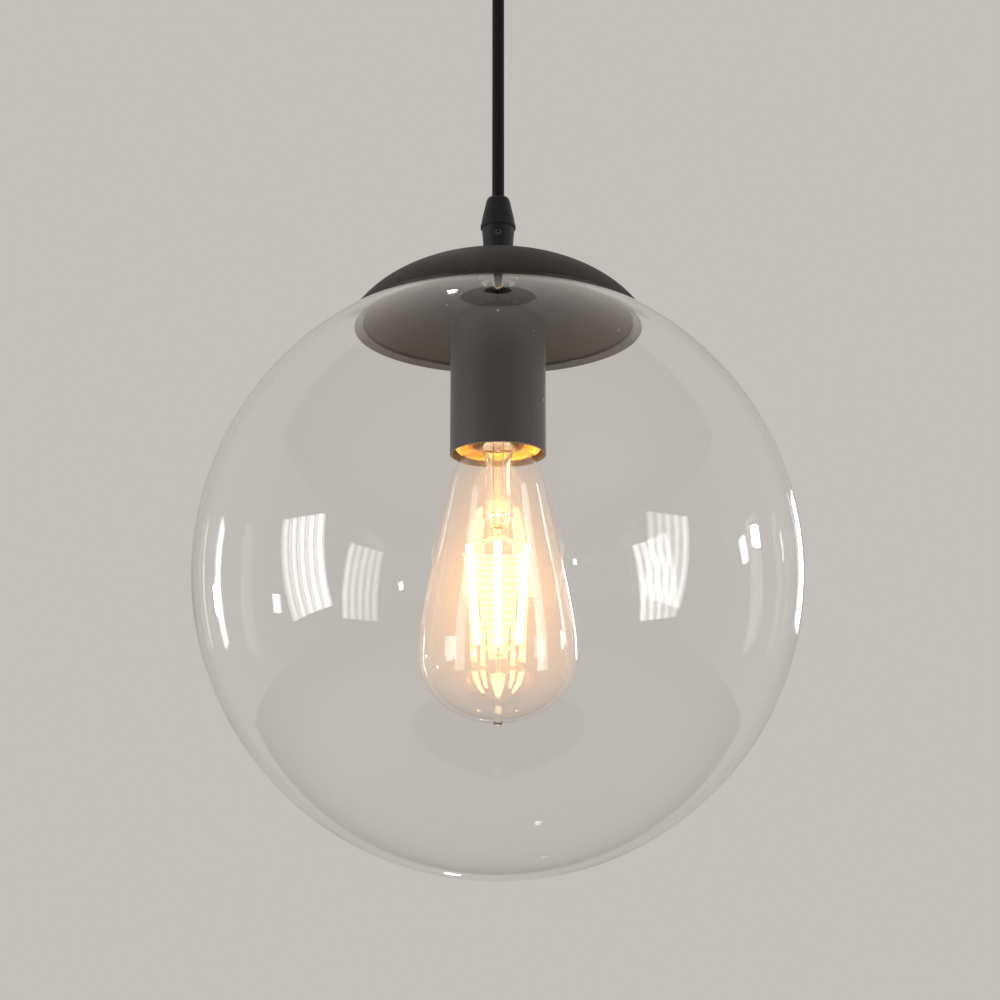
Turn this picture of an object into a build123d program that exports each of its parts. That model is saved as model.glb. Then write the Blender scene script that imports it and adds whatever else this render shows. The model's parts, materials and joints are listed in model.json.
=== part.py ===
"""Pendant ceiling light with a clear glass globe, a teardrop filament bulb and a domed metal cap.

Units are millimetres, +Z is up. The origin is the centre of the ceiling plane, so the whole
light hangs below z = 0. Pieces of the hanging lamp are drawn in the lamp's own heights, with
zero at the middle of the standard globe, and lowered by DROP when they are written. A globe of
another size still meets the cap at RIM_Z. One STEP file is written per named piece.
"""
import os
from math import cos, pi, radians, sin, sqrt

from build123d import *

# ---- driving dimensions: the hanging lamp, in the lamp's own heights ----
DROP = 317.0            # ceiling down to the lamp's zero height
GLOBE_R = 125.0         # outside radius of the glass
GLASS_WALL = 2.5
MOUTH_R = 59.5          # radius of the opening in the top of the glass
RIM_Z = 108.02          # height of the glass under the cap's rim

CAP_OVERLAP = 3.4       # how far the cap's rim reaches past the mouth
DOME_R = MOUTH_R + CAP_OVERLAP
DOME_APEX = 136.4       # top of the curve, before its flat
DOME_CURVE_A = DOME_R + 5.1     # half-width of the ellipse the cap is cut from
DOME_WALL = 1.5
RIM_DEPTH = 2.6         # how far in from the rim's edge its underside is measured
GASKET_T = 0.7          # silicone ring between the cap's rim and the glass

SLIP = 0.05             # radial gap of a screwed or pressed joint
HOLE_GAP = 0.2          # radial gap of a clearance hole
RIM_GAP = GASKET_T + 2 * SLIP

CUP_R = 20.2            # socket cup
CUP_WALL = 1.0
CUP_TOP = 113.8
CUP_H = 63.35
CUP_BOTTOM = CUP_TOP - CUP_H
CUP_SHOULDER = 7.0

CORD_R = 2.65
CORD_ROOM = 0.35        # radial room round the cord where it passes freely

NIPPLE_R = 5.0          # M10 threaded tube that carries the lamp
NIPPLE_BORE_R = CORD_R + 0.75
NIPPLE_BOTTOM = 101.5
NIPPLE_TOP = 143.0
DOME_FLAT_R = NIPPLE_R + 4.5    # flat seat for the gland and the washer
NUT_FLATS = 2 * NIPPLE_R + 4.0
NUT_H = 4.0

SEAL_BOTTOM = 152.0
SEAL_TOP = 158.0
SEAL_R = CORD_R + 1.6
GLAND_NECK_R = max(SEAL_R, NIPPLE_R - 0.75) + 1.05
GLAND_LIP_R = GLAND_NECK_R + 2.3
GLAND_SHOULDER_R = GLAND_LIP_R - 0.5
GLAND_FOOT_R = max(GLAND_SHOULDER_R - 1.05, NIPPLE_R + 1.05)
GLAND_SPLIT = 151.8     # where the gland nut meets the gland body
GLAND_TOP = 165.8

# ---- driving dimensions: lampholder and bulb ----
THREAD_PITCH = 3.63     # E27
CAP_CORE_R = 12.3       # bulb cap between its threads
CAP_RIB_R = 0.75
SHELL_CORE_R = 13.45    # holder shell between its threads
SHELL_RIB_R = 0.8
SHELL_WALL = 1.15
CAP_THREAD_Z = 57.5
CAP_TURNS = 4.5
SHELL_TURNS = 4.0
HOLDER_GAP = 1.2        # lampholder to the inside of the cup
HOLDER_R = CUP_R - CUP_WALL - HOLDER_GAP
HOLDER_BOTTOM = 52.5
HOLDER_MOUTH_R = 15.3   # room for the neck of the bulb
SHELL_BOTTOM = 58.6
HOLDER_TOP = 98.0
DECK_LOW = 84.0         # insulating deck that carries the terminals
DECK_HIGH = 90.0
SHELL_TOP = 80.0
BUTTON_TOP = 81.0
CONTACT_GAP = 0.1

BULB_WALL = 0.8
BULB_SIDE = [(11.4, 56.5), (12.2, 54.0), (15.0, 50.0), (19.0, 41.0), (22.0, 27.5), (24.9, 14.0),
             (29.1, -5.0), (32.1, -23.0), (32.8, -35.0)]
BULB_END_Z = -62.0      # bottom of the glass before its sealed tip
BULB_TIP_R = 1.9
STEM_R = 5.0
STEM_BOTTOM = 18.0
FILAMENTS = 6
FILAMENT_R = 1.4
FILAMENT_TOP = (13.6, 10.0)
FILAMENT_LOW = (9.8, -29.0)
ANCHOR_Z = -35.5

# ---- driving dimensions: ceiling fitting ----
CANOPY_R = 40.0
CANOPY_H = 25.0
CANOPY_WALL = 1.2
STRAP_X = CANOPY_R - CANOPY_WALL - 1.8     # half-length of the mounting strap
STRAP_W = 20.0
STRAP_T = 2.0
EAR_H = 15.0
SLOT_X = 28.0           # half the distance between the two ceiling slots
SLOT_R = 2.5
SLOT_LENGTH = 10.0
SIDE_SCREW_Z = -10.0
PIVOT_Z = -CANOPY_H - 11.5      # where the cord bends when the lamp swings
GRIP_R = NIPPLE_R + 3.5
GRIP_MOUTH_R = GRIP_R + 3.5
GRIP_BOTTOM = -CANOPY_H - 18.0
WIRE_R = 0.8


# ---- small helpers ----
def turned(points):
    """Solid of revolution about Z from a closed outline of (radius, height) points."""
    outline = make_face(Polyline(*points, close=True))
    return revolve(Plane.XZ * outline, axis=Axis.Z)


def tube(outer, inner, low, high):
    """Upright tube, or a plain rod when inner is 0."""
    return turned([(inner, low), (outer, low), (outer, high), (inner, high)])


def rod(start, end, radius):
    """Round bar between two points."""
    line = Vector(*end) - Vector(*start)
    return extrude(Plane(origin=start, z_dir=line) * Circle(radius), amount=line.length)


def block(low, high):
    """Box between two corners."""
    size = [b - a for a, b in zip(low, high)]
    middle = [(a + b) / 2 for a, b in zip(low, high)]
    return Pos(*middle) * Box(*size)


def hex_nut(low, height, bore):
    """Hexagon nut on the Z axis with its top and bottom corners turned off."""
    body = extrude(Pos(0, 0, low) * RegularPolygon(NUT_FLATS / 2, 6, major_radius=False), amount=height)
    corner = NUT_FLATS / sqrt(3)
    rounded = turned([(0, low), (corner - 0.6, low), (corner, low + 0.5),
                      (corner, low + height - 0.5), (corner - 0.6, low + height), (0, low + height)])
    return body & rounded - tube(bore, 0, low - 1, low + height + 1)


def wire(points, radius, start_dir=None, end_dir=None):
    """Round wire along a smooth curve."""
    if start_dir is None:
        path = Spline(*points)
    else:
        path = Spline(*points, tangents=[start_dir, end_dir])
    return sweep(Plane(origin=path @ 0, z_dir=path % 0) * Circle(radius), path=path)


def ended_wire(points, start_dir, end_dir, end):
    """Core of a cable: a smooth curve that runs on straight to its end."""
    curve = Spline(*points, tangents=[start_dir, end_dir])
    path = Wire([curve.edge(), Line(points[-1], end).edge()])
    return sweep(Plane(origin=path @ 0, z_dir=path % 0) * Circle(WIRE_R), path=path)


def screw(head_r, head_h, shank_r, shank_l):
    """Pan-head screw pointing down, its head's underside on z = 0, with a cross recess."""
    head = tube(head_r, 0, 0, head_h)
    head = fillet(head.edges().group_by(Axis.Z)[-1], head_h * 0.4)
    slot = Box(head_r * 1.2, 0.5, head_h * 0.9) + Box(0.5, head_r * 1.2, head_h * 0.9)
    return head + tube(shank_r, 0, -shank_l, 0.1) - Pos(0, 0, head_h) * slot


def helical_rib(core_r, rib_r, low, turns):
    """Round thread rib wound on a core."""
    path = Helix(pitch=THREAD_PITCH, height=THREAD_PITCH * turns, radius=core_r, center=(0, 0, low))
    return sweep(Plane(origin=path @ 0, z_dir=path % 0) * Circle(rib_r), path=path, is_frenet=True)


GLOBE_Z = RIM_Z - sqrt(GLOBE_R ** 2 - DOME_R ** 2)      # centre of the globe


def glass_height(radius):
    """Height of the outside of the globe at a radius, upper half."""
    return GLOBE_Z + sqrt(GLOBE_R ** 2 - radius ** 2)


def around(count, radius, height, phase=0.0):
    """Points on a ring."""
    turns = [phase + 2 * pi * i / count for i in range(count)]
    return [(radius * cos(a), radius * sin(a), height) for a in turns]


# ---- globe, cap and the spring that holds the glass ----
def glass_globe():
    inner_r = GLOBE_R - GLASS_WALL
    ray = Vector(MOUTH_R, glass_height(MOUTH_R) - GLOBE_Z).normalized()
    outer_end = ray * GLOBE_R
    inner_end = ray * inner_r
    across = Vector(-ray.Y, ray.X)
    lip = ray * (GLOBE_R - GLASS_WALL / 2) + across * (GLASS_WALL / 2)
    flat = [(v.X, v.Y) for v in (outer_end, inner_end, lip)]
    edges = [
        ThreePointArc(flat[0], (GLOBE_R, 0), (0, -GLOBE_R)),
        Line((0, -GLOBE_R), (0, -inner_r)),
        ThreePointArc((0, -inner_r), (inner_r, 0), flat[1]),
        ThreePointArc(flat[1], flat[2], flat[0]),
    ]
    return Pos(0, 0, GLOBE_Z) * revolve(Plane.XZ * make_face(edges), axis=Axis.Z)


def dome_curve(inset):
    """Centre height and half-axes of the cap's ellipse, moved in by inset."""
    lift = sqrt(1 - (DOME_R / DOME_CURVE_A) ** 2)
    half_height = (DOME_APEX - RIM_Z - RIM_GAP) / (1 - lift)
    centre = DOME_APEX - half_height
    return centre, DOME_CURVE_A - inset, half_height - inset


def dome_height(radius, inset=0.0):
    centre, half_width, half_height = dome_curve(inset)
    return centre + half_height * sqrt(1 - (radius / half_width) ** 2)


def dome_radius(height, inset=0.0):
    centre, half_width, half_height = dome_curve(inset)
    return half_width * sqrt(1 - ((height - centre) / half_height) ** 2)


def rim_inside():
    """Radius of the inner edge of the cap's rim, whose underside runs along the glass."""
    return dome_radius(glass_height(DOME_R - RIM_DEPTH) + RIM_GAP, DOME_WALL)


def seat_height():
    """Height of the flat on top of the cap."""
    return dome_height(DOME_FLAT_R)


def dome_cap():
    seat = seat_height()
    inner_rim = rim_inside()
    inner_rim_z = glass_height(inner_rim) + RIM_GAP
    radii = [DOME_FLAT_R + (DOME_R - DOME_FLAT_R) * i / 10 for i in range(11)]
    outer = [(r, dome_height(r)) for r in radii]
    inner_radii = [inner_rim - (inner_rim - DOME_FLAT_R) * i / 10 for i in range(11)]
    inner = [(inner_rim, inner_rim_z)] + [(r, dome_height(r, DOME_WALL)) for r in inner_radii[1:]]
    hole = NIPPLE_R + HOLE_GAP
    edges = [
        Line((hole, seat), outer[0]),
        Spline(*outer),
        Line(outer[-1], inner[0]),
        Spline(*inner),
        Line(inner[-1], (hole, inner[-1][1])),
        Line((hole, inner[-1][1]), (hole, seat)),
    ]
    return revolve(Plane.XZ * make_face(edges), axis=Axis.Z)


def cap_gasket():
    """Thin silicone ring between the rim of the cap and the glass."""
    wide, narrow = DOME_R - SLIP, rim_inside() + SLIP
    low, high = SLIP, SLIP + GASKET_T
    return turned([
        (narrow, glass_height(narrow) + low),
        (wide, glass_height(wide) + low),
        (wide, glass_height(wide) + high),
        (narrow, glass_height(narrow) + high),
    ])


HUB_R = 9.0
HUB_H = 5.2
ARM_R = 1.0
SLEEVE_R = 2.0
SLEEVE_L = 9.0
ARM_Z = CUP_TOP + HUB_H / 2


def arm_points():
    """Path of one spring arm in the plane of +Y and Z."""
    reach = MOUTH_R + 4.0
    inside = GLOBE_R - GLASS_WALL - SLEEVE_R - 0.35
    end = (reach, GLOBE_Z + sqrt(inside ** 2 - reach ** 2))
    return [(NIPPLE_R + 0.6, ARM_Z), (24.0, ARM_Z), end]


def spring_arm(side):
    points = [(0, side * y, z) for y, z in arm_points()]
    path = FilletPolyline(*points, radius=6.0)
    return sweep(Plane(origin=path @ 0, z_dir=path % 0) * Circle(ARM_R), path=path)


def glass_spring_arms():
    return [spring_arm(side) for side in (1, -1)]


def glass_spring_sleeves():
    sleeves = []
    for side in (1, -1):
        bend, end = [Vector(0, side * y, z) for y, z in arm_points()[1:]]
        along = (end - bend).normalized()
        start = end - along * SLEEVE_L
        outside = rod(tuple(start), tuple(end + along * 0.4), SLEEVE_R)
        sleeves.append(outside - rod(tuple(start - along), tuple(end), ARM_R))
    return sleeves


def glass_spring_hub():
    hub = tube(HUB_R, NIPPLE_R + SLIP, CUP_TOP, CUP_TOP + HUB_H)
    for arm in glass_spring_arms():
        hub = hub - arm
    return hub


# ---- threaded tube, nuts and cord gland ----
def threaded_nipple():
    return tube(NIPPLE_R, NIPPLE_BORE_R, NIPPLE_BOTTOM, NIPPLE_TOP)


def nipple_nut(low):
    return hex_nut(low, NUT_H, NIPPLE_R + SLIP)


WASHER_T = 1.2


def cap_washer():
    top = dome_height(DOME_FLAT_R, DOME_WALL)
    return tube(DOME_FLAT_R - 0.6, NIPPLE_R + HOLE_GAP, top - WASHER_T, top)


def cap_locknut():
    return nipple_nut(dome_height(DOME_FLAT_R, DOME_WALL) - WASHER_T - NUT_H)


GRUB_Z = 148.0
GRUB_R = 1.5


def gland_body():
    outline = [
        (NIPPLE_R + SLIP, seat_height()),
        (GLAND_FOOT_R, seat_height()),
        ((GLAND_FOOT_R + GLAND_SHOULDER_R) / 2, 146.0),
        (GLAND_SHOULDER_R, GLAND_SPLIT),
        (GLAND_NECK_R, GLAND_SPLIT),
        (GLAND_NECK_R, SEAL_TOP - 0.5),
        (SEAL_R + SLIP, SEAL_TOP - 0.5),
        (SEAL_R + SLIP, SEAL_BOTTOM),
        (CORD_R + CORD_ROOM, SEAL_BOTTOM),
        (CORD_R + CORD_ROOM, NIPPLE_TOP + 0.3),
        (NIPPLE_R + SLIP, NIPPLE_TOP + 0.3),
    ]
    return turned(outline) - rod((0, 0, GRUB_Z), (0, -10, GRUB_Z), GRUB_R + SLIP)


def gland_grub_screw():
    face = GLAND_FOOT_R + 0.25
    screw_body = rod((0, -CORD_R - 0.1, GRUB_Z), (0, -face, GRUB_Z), GRUB_R)
    return screw_body - rod((0, 1.0 - face, GRUB_Z), (0, -face - 1.0, GRUB_Z), 0.7)


def gland_nut():
    hole = CORD_R + CORD_ROOM - SLIP
    taper = [(0.25, 153.7), (1.1, 158.3), (2.1, 162.8), (2.6, 164.8), (3.3, GLAND_TOP)]
    outer = [(GLAND_LIP_R - step, height) for step, height in taper]
    edges = [
        Line((GLAND_NECK_R + SLIP, GLAND_SPLIT), (GLAND_LIP_R, GLAND_SPLIT)),
        Line((GLAND_LIP_R, GLAND_SPLIT), (GLAND_LIP_R, GLAND_SPLIT + 1.4)),
        Line((GLAND_LIP_R, GLAND_SPLIT + 1.4), outer[0]),
        Spline(*outer),
        Line(outer[-1], (hole, GLAND_TOP)),
        Line((hole, GLAND_TOP), (hole, SEAL_TOP)),
        Line((hole, SEAL_TOP), (GLAND_NECK_R + SLIP, SEAL_TOP)),
        Line((GLAND_NECK_R + SLIP, SEAL_TOP), (GLAND_NECK_R + SLIP, GLAND_SPLIT)),
    ]
    return revolve(Plane.XZ * make_face(edges), axis=Axis.Z)


def gland_seal():
    return tube(SEAL_R, CORD_R, SEAL_BOTTOM, SEAL_TOP)


# ---- socket cup and lampholder ----
def socket_cup():
    outside = tube(CUP_R, 0, CUP_BOTTOM, CUP_TOP)
    outside = fillet(outside.edges().group_by(Axis.Z)[-1], CUP_SHOULDER)
    inside = tube(CUP_R - CUP_WALL, 0, CUP_BOTTOM - 1, CUP_TOP - CUP_WALL)
    inside = fillet(inside.edges().group_by(Axis.Z)[-1], CUP_SHOULDER - CUP_WALL)
    return outside - inside - tube(NIPPLE_R + HOLE_GAP, 0, CUP_TOP - 5, CUP_TOP + 1)


TAG_T = 0.8
HOLDER_CEILING = CUP_TOP - CUP_WALL     # top of the lampholder cap, against the cup
CAVITY_TOP = 107.0


def lampholder_cap():
    return turned([
        (NIPPLE_R + SLIP, HOLDER_CEILING),
        (11.0, HOLDER_CEILING),
        (13.5, 109.5),
        (HOLDER_R, 104.0),
        (HOLDER_R, HOLDER_TOP),
        (HOLDER_R - 1.8, HOLDER_TOP),
        (HOLDER_R - 1.8, 103.0),
        (12.5, CAVITY_TOP),
        (NIPPLE_R + SLIP, CAVITY_TOP),
    ])


def earth_tag():
    ring = tube(8.0, NIPPLE_R + SLIP, CAVITY_TOP - TAG_T, CAVITY_TOP)
    tab = block((-2.5, -11.9, CAVITY_TOP - TAG_T), (2.5, -7.0, CAVITY_TOP))
    return ring + tab


def nipple_locknut():
    return nipple_nut(CAVITY_TOP - TAG_T - NUT_H)


LIVE_SCREW = (-6.0, 0.0)
NEUTRAL_SCREW = (8.0, 0.0)
SHELL_POST = (13.3, 0.0)
POST_R = 1.2
RIVET_R = 1.5
PLATE_T = 1.5
PLATE_TOP = DECK_HIGH + PLATE_T


def lampholder_body():
    seat_r = SHELL_CORE_R + SHELL_WALL + SLIP
    body = turned([
        (seat_r, SHELL_BOTTOM - 1.0),
        (HOLDER_MOUTH_R, HOLDER_BOTTOM + 0.5),
        (HOLDER_MOUTH_R + 0.5, HOLDER_BOTTOM),
        (HOLDER_R - 0.5, HOLDER_BOTTOM),
        (HOLDER_R, HOLDER_BOTTOM + 0.5),
        (HOLDER_R, HOLDER_TOP),
        (HOLDER_R - 2.0, HOLDER_TOP),
        (HOLDER_R - 2.0, DECK_HIGH),
        (0, DECK_HIGH),
        (0, DECK_LOW),
        (seat_r, DECK_LOW),
    ])
    body = body - tube(RIVET_R + SLIP, 0, DECK_LOW - 1, DECK_HIGH + 1)
    body = body - Pos(*SHELL_POST, 0) * tube(POST_R + SLIP, 0, DECK_LOW - 1, DECK_HIGH + 1)
    for spot in (LIVE_SCREW, NEUTRAL_SCREW):
        body = body - Pos(*spot, 0) * tube(RIVET_R + SLIP, 0, DECK_LOW + 1, DECK_HIGH + 1)
    return body


def lampholder_screw_shell():
    outer = SHELL_CORE_R + SHELL_WALL
    shell = tube(outer, SHELL_CORE_R, SHELL_BOTTOM, SHELL_TOP)
    start = CAP_THREAD_Z + THREAD_PITCH * 1.5
    return shell + helical_rib(SHELL_CORE_R, SHELL_RIB_R, start, SHELL_TURNS)


def lampholder_centre_contact():
    leaf_low = BUTTON_TOP + CONTACT_GAP
    leaf = block((-8.0, -2.5, leaf_low), (8.0, 2.5, leaf_low + 0.6))
    post = tube(RIVET_R, 0, leaf_low, PLATE_TOP)
    plate = block((-12.5, -3.0, DECK_HIGH), (3.0, 3.0, PLATE_TOP))
    hole = Pos(*LIVE_SCREW, 0) * tube(RIVET_R + SLIP, 0, DECK_LOW, PLATE_TOP + 1)
    return leaf + post + plate - hole


def lampholder_shell_contact():
    post = Pos(*SHELL_POST, 0) * tube(POST_R, 0, SHELL_TOP, PLATE_TOP)
    plate = block((5.0, -3.0, DECK_HIGH), (14.9, 3.0, PLATE_TOP))
    hole = Pos(*NEUTRAL_SCREW, 0) * tube(RIVET_R + SLIP, 0, DECK_LOW, PLATE_TOP + 1)
    return post + plate - hole


def lampholder_terminal_screws():
    one = screw(2.6, 1.8, RIVET_R, 5.0)
    return [Pos(*spot, PLATE_TOP) * one for spot in (LIVE_SCREW, NEUTRAL_SCREW)]


CORD_END = NIPPLE_BOTTOM - 1.0          # where the sheath stops inside the lampholder


def holder_live_wire():
    return wire([(-1.4, 0, CORD_END), (-4.5, 0, CORD_END - 3.5), (-10.9, 0, PLATE_TOP)], WIRE_R,
                (0, 0, -1), (0, 0, -1))


def holder_neutral_wire():
    return wire([(1.4, 0, CORD_END), (5.5, 0, CORD_END - 3.5), (12.6, 0, PLATE_TOP)], WIRE_R,
                (0, 0, -1), (0, 0, -1))


def holder_earth_wire():
    return wire([
        (0, -1.6, CORD_END),
        (0, -3.2, CORD_END - 3.0),
        (0, -6.4, CORD_END - 4.4),
        (0, -9.6, CORD_END - 1.6),
        (0, -10.4, CAVITY_TOP - TAG_T),
    ], WIRE_R, (0, 0, -1), (0, 0, 1))


# ---- bulb ----
def inset_path(points, amount):
    """Points moved sideways, towards the axis side of the path."""
    moved = []
    for i, (r, z) in enumerate(points):
        before = points[max(i - 1, 0)]
        after = points[min(i + 1, len(points) - 1)]
        run = Vector(after[0] - before[0], after[1] - before[1]).normalized()
        moved.append((r + run.Y * amount, z - run.X * amount))
    return moved


def bulb_end(steps):
    """Rounded lower end of the glass, a quarter ellipse."""
    wide, middle = BULB_SIDE[-1]
    height = middle - BULB_END_Z
    angles = [radians(90.0 * i / steps) for i in range(1, steps + 1)]
    return [(wide * cos(a), middle - height * sin(a)) for a in angles]


def bulb_glass():
    outer = BULB_SIDE + bulb_end(6)
    outer[-1] = (0.0, BULB_END_Z)
    inner = inset_path(outer, BULB_WALL)
    inner[0] = (outer[0][0] - BULB_WALL, outer[0][1])
    inner[-1] = (0.0, BULB_END_Z + BULB_WALL)
    edges = [
        Spline(*outer, tangents=[(0, -1), (-1, 0)]),
        Line(outer[-1], inner[-1]),
        Spline(*reversed(inner), tangents=[(1, 0), (0, 1)]),
        Line(inner[0], outer[0]),
    ]
    envelope = revolve(Plane.XZ * make_face(edges), axis=Axis.Z)
    return envelope + turned([(0, BULB_END_Z + 0.3), (BULB_TIP_R, BULB_END_Z + 0.2),
                              (BULB_TIP_R * 0.8, BULB_END_Z - 1.1), (0, BULB_END_Z - 2.1)])


def bulb_screw_cap():
    shell = turned([
        (CAP_CORE_R - 0.5, 55.0),
        (CAP_CORE_R + 0.6, 54.6),
        (CAP_CORE_R + 0.6, 56.0),
        (CAP_CORE_R, 56.4),
        (CAP_CORE_R, 77.0),
        (CAP_CORE_R - 1.2, 78.2),
        (CAP_CORE_R - 1.7, 77.6),
        (CAP_CORE_R - 0.5, 76.6),
    ])
    return shell + helical_rib(CAP_CORE_R, CAP_RIB_R, CAP_THREAD_Z, CAP_TURNS)


def bulb_insulator():
    return turned([(0, 76.6), (CAP_CORE_R - 2.3, 76.6), (CAP_CORE_R - 1.8, 78.4), (6.0, BUTTON_TOP - 1.0),
                   (0, BUTTON_TOP - 1.0)])


def bulb_contact_button():
    return fillet(tube(4.8, 0, BUTTON_TOP - 1.0, BUTTON_TOP).edges().group_by(Axis.Z)[-1], 0.6)


def bulb_driver_board():
    board = tube(9.5, 0, 66.0, 67.2)
    capacitor = Pos(-3.0, 2.0, 0) * tube(3.2, 0, 67.2, 75.0)
    chip = block((1.5, -5.0, 67.2), (6.5, 1.0, 69.2))
    choke = Pos(4.2, 4.0, 0) * tube(2.2, 0, 67.2, 72.0)
    return board + capacitor + chip + choke


def bulb_stem():
    """Glass tube that carries the filaments, flared to close the neck of the bulb."""
    return turned([
        (0, STEM_BOTTOM),
        (STEM_R - 1.6, STEM_BOTTOM),
        (STEM_R, STEM_BOTTOM + 3.0),
        (STEM_R, 46.0),
        (STEM_R + 1.4, 51.0),
        (CAP_CORE_R - BULB_WALL - 1.3, 56.5),
        (CAP_CORE_R - BULB_WALL - 2.2, 56.5),
        (STEM_R + 0.4, 51.4),
        (STEM_R - 1.0, 46.0),
        (STEM_R - 1.0, STEM_BOTTOM + 6.0),
        (0, STEM_BOTTOM + 5.0),
    ])


def filament_ends():
    tops = around(FILAMENTS, *FILAMENT_TOP, phase=pi / 6)
    lows = around(FILAMENTS, *FILAMENT_LOW, phase=pi / 6)
    return list(zip(tops, lows))


def bulb_filaments():
    return [rod(top, low, FILAMENT_R) for top, low in filament_ends()]


SUPPORT_R = 0.35


def bulb_filament_supports():
    """Thin wires from the stem to the filament tops, and from a middle rod to their lower ends."""
    frame = rod((0, 0, STEM_BOTTOM), (0, 0, ANCHOR_Z), 0.7)
    for top, low in filament_ends():
        frame = frame + rod((0, 0, STEM_BOTTOM - 2.0), top, SUPPORT_R)
        frame = frame + rod((0, 0, ANCHOR_Z + 0.4), low, SUPPORT_R)
    for filament in bulb_filaments():
        frame = frame - filament
    return frame


def bulb_lead_wires():
    inside = STEM_BOTTOM + 5.0
    return [rod((x, 0, inside + 1.0), (x, 0, 66.0), 0.4) for x in (-2.0, 2.0)]


# ---- ceiling fitting ----
def slot_hole(x):
    """Slot along X through the strap."""
    return Pos(x, 0, -STRAP_T - 1) * extrude(SlotOverall(SLOT_LENGTH, 2 * SLOT_R), amount=STRAP_T + 2)


EARTH_SCREW = (16.5, 0.0)
CABLE_ENTRY = (5.5, 0.0)
CABLE_ENTRY_R = 4.0
SCREW_R = 1.95


def ceiling_bracket():
    half = STRAP_W / 2
    strap = block((-STRAP_X, -half, -STRAP_T), (STRAP_X, half, 0))
    for side in (1, -1):
        ends = sorted((side * STRAP_X, side * (STRAP_X - STRAP_T)))
        ear = block((ends[0], -half, -EAR_H), (ends[1], half, 0))
        hole = rod((side * (STRAP_X - 5), 0, SIDE_SCREW_Z), (side * (STRAP_X + 5), 0, SIDE_SCREW_Z), SCREW_R + SLIP)
        strap = strap + ear - hole - slot_hole(side * SLOT_X)
    strap = strap - Pos(*CABLE_ENTRY, -STRAP_T - 1) * extrude(Circle(CABLE_ENTRY_R), amount=STRAP_T + 2)
    return strap - Pos(*EARTH_SCREW, 0) * tube(SCREW_R + SLIP, 0, -STRAP_T - 1, 1)


def canopy_cup():
    outside = fillet(tube(CANOPY_R, 0, -CANOPY_H, 0).edges().group_by(Axis.Z)[0], 5.0)
    inside = tube(CANOPY_R - CANOPY_WALL, 0, CANOPY_WALL - CANOPY_H, 1)
    inside = fillet(inside.edges().group_by(Axis.Z)[0], 5.0 - CANOPY_WALL)
    shell = outside - inside - tube(NIPPLE_R + HOLE_GAP, 0, -CANOPY_H - 1, -CANOPY_H + 3)
    holes = rod((-CANOPY_R - 2, 0, SIDE_SCREW_Z), (CANOPY_R + 2, 0, SIDE_SCREW_Z), SCREW_R + HOLE_GAP)
    return shell - holes


def canopy_side_screws():
    one = screw(3.6, 2.2, SCREW_R, CANOPY_R - STRAP_X + 3.0)
    return [Pos(side * (CANOPY_R + 0.02), 0, SIDE_SCREW_Z) * Rot(0, side * 90, 0) * one for side in (1, -1)]


BLOCK_X = (-19.0, -2.5)
BLOCK_HALF_Y = 8.0
BLOCK_Z = (-11.5, -STRAP_T)
POLES = (-16.0, -10.75, -5.5)
TUNNEL_Z = -7.0
TUNNEL_R = 1.5
WELL_R = 1.9


def terminal_block():
    body = block((BLOCK_X[0], -BLOCK_HALF_Y, BLOCK_Z[0]), (BLOCK_X[1], BLOCK_HALF_Y, BLOCK_Z[1]))
    for x in POLES:
        body = body - rod((x, -BLOCK_HALF_Y - 1, TUNNEL_Z), (x, BLOCK_HALF_Y + 1, TUNNEL_Z), TUNNEL_R)
        for y in (-4.5, 4.5):
            body = body - Pos(x, y, 0) * tube(WELL_R, 0, BLOCK_Z[0] - 1, TUNNEL_Z)
    return body


def terminal_block_screws():
    one = tube(WELL_R - 0.1, 0, BLOCK_Z[0] + 0.6, TUNNEL_Z - WIRE_R - 0.4) - block((-2, -0.3, -12), (2, 0.3, -10.2))
    return [Pos(x, y, 0) * one for x in POLES for y in (-4.5, 4.5)]


GRIP_TOP = -CANOPY_H + 7.5
TAIL_TOP = -CANOPY_H + 8.0
THROAT_Z = -CANOPY_H - 9.0
CLAMP_Z = -CANOPY_H - 4.0


def cord_grip_body():
    """Grip with a bell mouth that lets the cord bend without a sharp edge."""
    body = turned([
        (CORD_R + SLIP, GRIP_TOP),
        (NIPPLE_R, GRIP_TOP),
        (NIPPLE_R, -CANOPY_H),
        (GRIP_R, -CANOPY_H),
        (GRIP_R, THROAT_Z + 2.5),
        (GRIP_R + 0.8, THROAT_Z - 0.5),
        (GRIP_MOUTH_R + 1.2, GRIP_BOTTOM + 1.4),
        (GRIP_MOUTH_R + 1.0, GRIP_BOTTOM),
        (GRIP_MOUTH_R, GRIP_BOTTOM),
        (CORD_R + CORD_ROOM, THROAT_Z),
        (CORD_R + SLIP, THROAT_Z),
    ])
    return body - rod((0, 0, CLAMP_Z), (12, 0, CLAMP_Z), GRUB_R + SLIP)


def cord_grip_locknut():
    return nipple_nut(-CANOPY_H + CANOPY_WALL)


def cord_grip_clamp_screw():
    return rod((CORD_R + 0.02, 0, CLAMP_Z), (GRIP_R - 0.5, 0, CLAMP_Z), GRUB_R) - rod(
        (GRIP_R - 1.8, 0, CLAMP_Z), (GRIP_R, 0, CLAMP_Z), 0.7)


def cable_tail():
    return tube(CORD_R, 0, PIVOT_Z + CORD_R, TAIL_TOP)


def cord_bend():
    """The length of cord that bends in the bell mouth, drawn as a ball on the pivot."""
    return Pos(0, 0, PIVOT_Z) * Sphere(CORD_R)


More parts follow.
